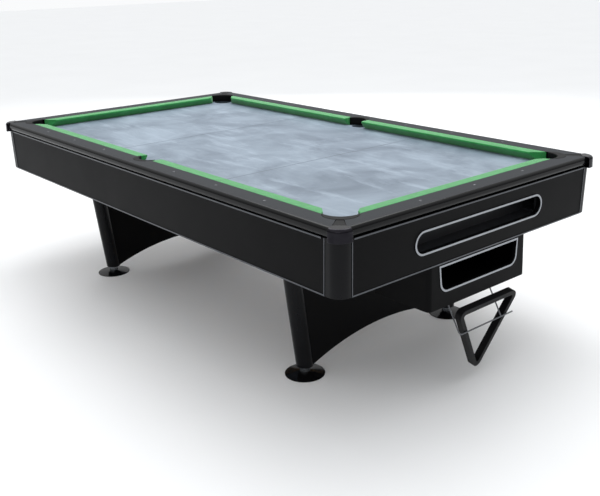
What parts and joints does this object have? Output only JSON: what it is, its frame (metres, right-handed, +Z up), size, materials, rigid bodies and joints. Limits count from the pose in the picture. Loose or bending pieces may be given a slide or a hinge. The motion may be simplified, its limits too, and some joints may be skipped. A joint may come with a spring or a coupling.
{
  "type": "pool table",
  "caption": "Commercial pool table with bare slate bed, cloth-covered cushions, drop pockets, ball return, pedestal legs with levelling feet and a hanging triangle rack.",
  "frame": {"origin": "on the floor under the middle of the table, at the centre of its outline", "axes": "+X along the table towards the ball-return (foot) end, +Y across to the left side seen from the head end, +Z up"},
  "size_m": [2.86, 1.582, 0.841],
  "materials": {
    "slate": "honed slate, bare",
    "rail_laminate": "dark grey laminate, satin, gloss at the rounded edge",
    "cushion_cloth": "green billiard cloth over rubber",
    "pocket_rubber": "moulded, semi-gloss",
    "dark_chrome": "dark chrome plate",
    "ball_run_plastic": "moulded",
    "zinc_steel": "bright zinc",
    "bright_trim": "polished",
    "cabinet_laminate": "black satin laminate",
    "gloss_post": "black, high gloss",
    "frame_timber": "planed softwood",
    "foot_enamel": "black gloss enamel",
    "holder_wire": "dark plated wire",
    "rack_plastic": "black, moulded"
  },
  "bodies": {
    "table": {"apron_foot_end": "cabinet_laminate", "apron_head_end": "cabinet_laminate", "apron_left": "cabinet_laminate", "apron_right": "cabinet_laminate", "apron_trims": "bright_trim", "ball_box": "cabinet_laminate", "ball_runs": "ball_run_plastic", "box_trim": "bright_trim", "corner_casting_foot_left": "dark_chrome", "corner_casting_foot_right": "dark_chrome", "corner_casting_head_left": "dark_chrome", "corner_casting_head_right": "dark_chrome", "corner_post_foot_left": "gloss_post", "corner_post_foot_right": "gloss_post", "corner_post_head_left": "gloss_post", "corner_post_head_right": "gloss_post", "corner_rim_foot_left": "pocket_rubber", "corner_rim_foot_right": "pocket_rubber", "corner_rim_head_left": "pocket_rubber", "corner_rim_head_right": "pocket_rubber", "cushion_foot_end": "cushion_cloth", "cushion_foot_left": "cushion_cloth", "cushion_foot_right": "cushion_cloth", "cushion_head_end": "cushion_cloth", "cushion_head_left": "cushion_cloth", "cushion_head_right": "cushion_cloth", "filler_tabs": "pocket_rubber", "leg_panel_foot": "cabinet_laminate", "leg_panel_head": "cabinet_laminate", "leg_post_foot_left": "gloss_post", "leg_post_foot_right": "gloss_post", "leg_post_head_left": "gloss_post", "leg_post_head_right": "gloss_post", "pocket_chutes": "ball_run_plastic", "rack_holder": "holder_wire", "rail_bolts": "zinc_steel", "rail_foot_end": "rail_laminate", "rail_foot_left": "rail_laminate", "rail_foot_right": "rail_laminate", "rail_head_end": "rail_laminate", "rail_head_left": "rail_laminate", "rail_head_right": "rail_laminate", "rail_sights": "bright_trim", "return_tray": "ball_run_plastic", "side_rim_left": "pocket_rubber", "side_rim_right": "pocket_rubber", "slate_foot": "slate", "slate_head": "slate", "slate_middle": "slate", "timber_frame": "frame_timber", "window_trim": "bright_trim"},
    "disc_foot_left": {"foot_disc_foot_left": "foot_enamel"},
    "stud_foot_left": {"foot_stud_foot_left": "zinc_steel"},
    "disc_foot_right": {"foot_disc_foot_right": "foot_enamel"},
    "stud_foot_right": {"foot_stud_foot_right": "zinc_steel"},
    "disc_head_left": {"foot_disc_head_left": "foot_enamel"},
    "stud_head_left": {"foot_stud_head_left": "zinc_steel"},
    "disc_head_right": {"foot_disc_head_right": "foot_enamel"},
    "stud_head_right": {"foot_stud_head_right": "zinc_steel"},
    "rack": {"triangle_rack": "rack_plastic"}
  },
  "joints": [
    {"name": "level_foot_left", "type": "slide", "parent": "table", "child": "stud_foot_left", "axis": [0, 0, -1], "range_m": [0, 0.025]},
    {"name": "screw_foot_left", "type": "hinge", "parent": "stud_foot_left", "child": "disc_foot_left", "pos_m": [0.843, 0.46, 0.005], "axis": [0, 0, 1], "range_deg": [0, 4500]},
    {"name": "level_foot_right", "type": "slide", "parent": "table", "child": "stud_foot_right", "axis": [0, 0, -1], "range_m": [0, 0.025]},
    {"name": "screw_foot_right", "type": "hinge", "parent": "stud_foot_right", "child": "disc_foot_right", "pos_m": [0.843, -0.46, 0.005], "axis": [0, 0, 1], "range_deg": [0, 4500]},
    {"name": "level_head_left", "type": "slide", "parent": "table", "child": "stud_head_left", "axis": [0, 0, -1], "range_m": [0, 0.025]},
    {"name": "screw_head_left", "type": "hinge", "parent": "stud_head_left", "child": "disc_head_left", "pos_m": [-0.843, 0.46, 0.005], "axis": [0, 0, 1], "range_deg": [0, 4500]},
    {"name": "level_head_right", "type": "slide", "parent": "table", "child": "stud_head_right", "axis": [0, 0, -1], "range_m": [0, 0.025]},
    {"name": "screw_head_right", "type": "hinge", "parent": "stud_head_right", "child": "disc_head_right", "pos_m": [-0.843, -0.46, 0.005], "axis": [0, 0, 1], "range_deg": [0, 4500]},
    {"name": "rack_lift", "type": "slide", "parent": "table", "child": "rack", "axis": [0.1994, 0, 0.9799], "range_m": [0, 0.024]}
  ],
  "couplings": [
    {"joint": "level_foot_left", "follows": "screw_foot_left", "m_per_rad": 0.0003183},
    {"joint": "level_foot_right", "follows": "screw_foot_right", "m_per_rad": 0.0003183},
    {"joint": "level_head_left", "follows": "screw_head_left", "m_per_rad": 0.0003183},
    {"joint": "level_head_right", "follows": "screw_head_right", "m_per_rad": 0.0003183}
  ]
}
